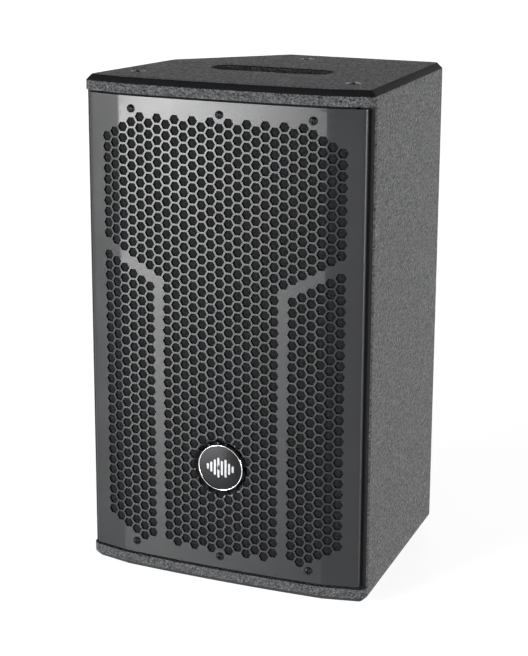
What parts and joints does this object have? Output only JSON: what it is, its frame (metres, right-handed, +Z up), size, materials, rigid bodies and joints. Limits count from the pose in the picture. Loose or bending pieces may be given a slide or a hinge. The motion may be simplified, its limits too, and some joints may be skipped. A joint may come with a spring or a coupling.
{
  "type": "pa speaker cabinet",
  "caption": "Compact two-way loudspeaker cabinet with a tapered side and monitor face, perforated steel front, hand slot, rigging inserts, stand socket and recessed input plate.",
  "frame": {"origin": "on the floor under the middle of the bounding box", "axes": "-Y out of the grille, +X to the square side seen from the front at its right, +Z up"},
  "size_m": [0.2574, 0.2142, 0.441],
  "materials": {
    "textured_paint": "black textured polyurea paint on birch plywood",
    "birch_ply": "raw birch plywood",
    "powder_coated_steel": "satin dark grey powder coat",
    "acoustic_foam": "open-cell reticulated foam, black",
    "black_oxide_steel": "black oxide on steel",
    "zinc_plated_steel": "bright zinc plate",
    "gloss_badge": "gloss black resin",
    "chrome": "bright chrome",
    "black_pressed_steel": "black satin paint on pressed steel",
    "rubber": "moulded black rubber",
    "surround_cloth": "treated cloth half roll, black",
    "spider_cloth": "phenolic dipped cotton",
    "paper_pulp": "pressed paper pulp, black",
    "enamelled_copper": "enamelled copper wire",
    "ferrite": "ground ferrite",
    "titanium_foil": "formed titanium foil",
    "circuit_board": "green solder mask",
    "capacitor_film": "blue film capacitor sleeve",
    "cable_jacket": "black PVC jacket",
    "polyester_wadding": "grey polyester wadding",
    "black_abs": "moulded black ABS"
  },
  "bodies": {
    "cabinet": {"badge": "gloss_badge", "badge_ring": "chrome", "baffle": "textured_paint", "bottom_panel": "textured_paint", "crossover_board": "circuit_board", "crossover_capacitor": "capacitor_film", "crossover_coil": "enamelled_copper", "damping_pad": "polyester_wadding", "driver_front_plate": "black_pressed_steel", "driver_magnet": "ferrite", "driver_pole": "zinc_plated_steel", "driver_rear_cover": "black_abs", "foot_1": "rubber", "foot_2": "rubber", "foot_3": "rubber", "foot_4": "rubber", "grille": "powder_coated_steel", "grille_batten_bottom": "birch_ply", "grille_batten_top": "birch_ply", "grille_foam": "acoustic_foam", "grille_screw_1": "black_oxide_steel", "grille_screw_2": "black_oxide_steel", "grille_screw_3": "black_oxide_steel", "grille_screw_4": "black_oxide_steel", "grille_screw_5": "black_oxide_steel", "grille_screw_6": "black_oxide_steel", "handle_cup": "black_abs", "horn": "black_abs", "input_cable": "cable_jacket", "input_plate": "black_pressed_steel", "input_socket": "black_abs", "left_side_panel": "textured_paint", "link_socket": "black_abs", "monitor_side_panel": "textured_paint", "pole_socket": "black_pressed_steel", "port_tube_left": "black_abs", "port_tube_right": "black_abs", "rear_panel": "textured_paint", "rigging_bush_1": "zinc_plated_steel", "rigging_bush_2": "zinc_plated_steel", "rigging_bush_3": "zinc_plated_steel", "rigging_screw_1": "black_oxide_steel", "rigging_screw_2": "black_oxide_steel", "rigging_screw_3": "black_oxide_steel", "right_side_panel": "textured_paint", "top_panel": "textured_paint", "woofer_basket": "black_pressed_steel", "woofer_front_plate": "zinc_plated_steel", "woofer_magnet": "ferrite", "woofer_screw_1": "black_oxide_steel", "woofer_screw_2": "black_oxide_steel", "woofer_screw_3": "black_oxide_steel", "woofer_screw_4": "black_oxide_steel", "woofer_spider": "spider_cloth", "woofer_surround": "surround_cloth", "woofer_yoke": "zinc_plated_steel"},
    "woofer_moving": {"woofer_cone": "paper_pulp", "dust_cap": "paper_pulp", "voice_coil": "enamelled_copper"},
    "diaphragm_moving": {"driver_diaphragm": "titanium_foil"}
  },
  "joints": [
    {"name": "woofer_travel", "type": "slide", "parent": "cabinet", "child": "woofer_moving", "axis": [0, -1, 0], "range_m": [-0.005, 0.005], "stiffness_N_per_m": 1600, "deforming": ["woofer_surround", "woofer_spider"]},
    {"name": "diaphragm_travel", "type": "slide", "parent": "cabinet", "child": "diaphragm_moving", "axis": [0, -1, 0], "range_m": [-0.0003, 0.0003], "stiffness_N_per_m": 4000}
  ]
}
